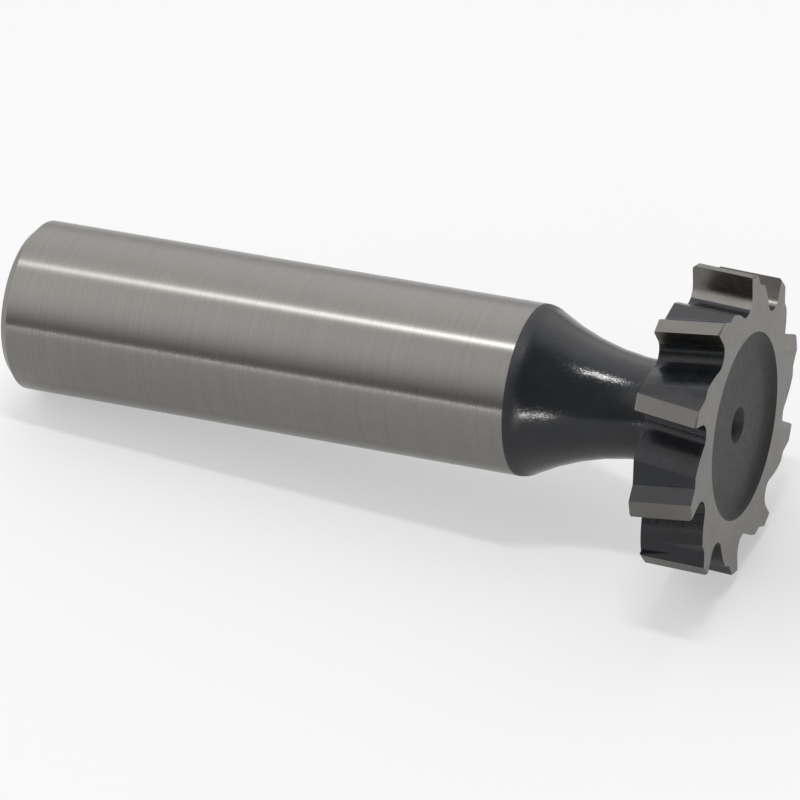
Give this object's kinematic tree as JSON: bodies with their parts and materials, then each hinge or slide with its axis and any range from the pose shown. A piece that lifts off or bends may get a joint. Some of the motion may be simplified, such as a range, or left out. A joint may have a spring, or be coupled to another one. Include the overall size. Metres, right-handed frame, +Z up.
{
  "type": "woodruff keyseat cutter",
  "caption": "Straight-shank milling cutter with a slim flared neck and a narrow staggered-tooth disc head for half-round key slots.",
  "frame": {"origin": "on the floor that the cutter lies on, below the middle of its bounding box", "axes": "+Z up; the tool's axis runs along +X from the shank's end to the head, and rises 5.24 degrees from the XY plane as the cutter lies on its head and the rim of its shank"},
  "size_m": [0.0576, 0.0226, 0.0222],
  "materials": {
    "tool_steel": "ground bright on the shank, tooth lands and front ring; black oxide on the neck, gullets and recess"
  },
  "bodies": {
    "root": {"keyseat_cutter": "tool_steel"}
  },
  "joints": []
}
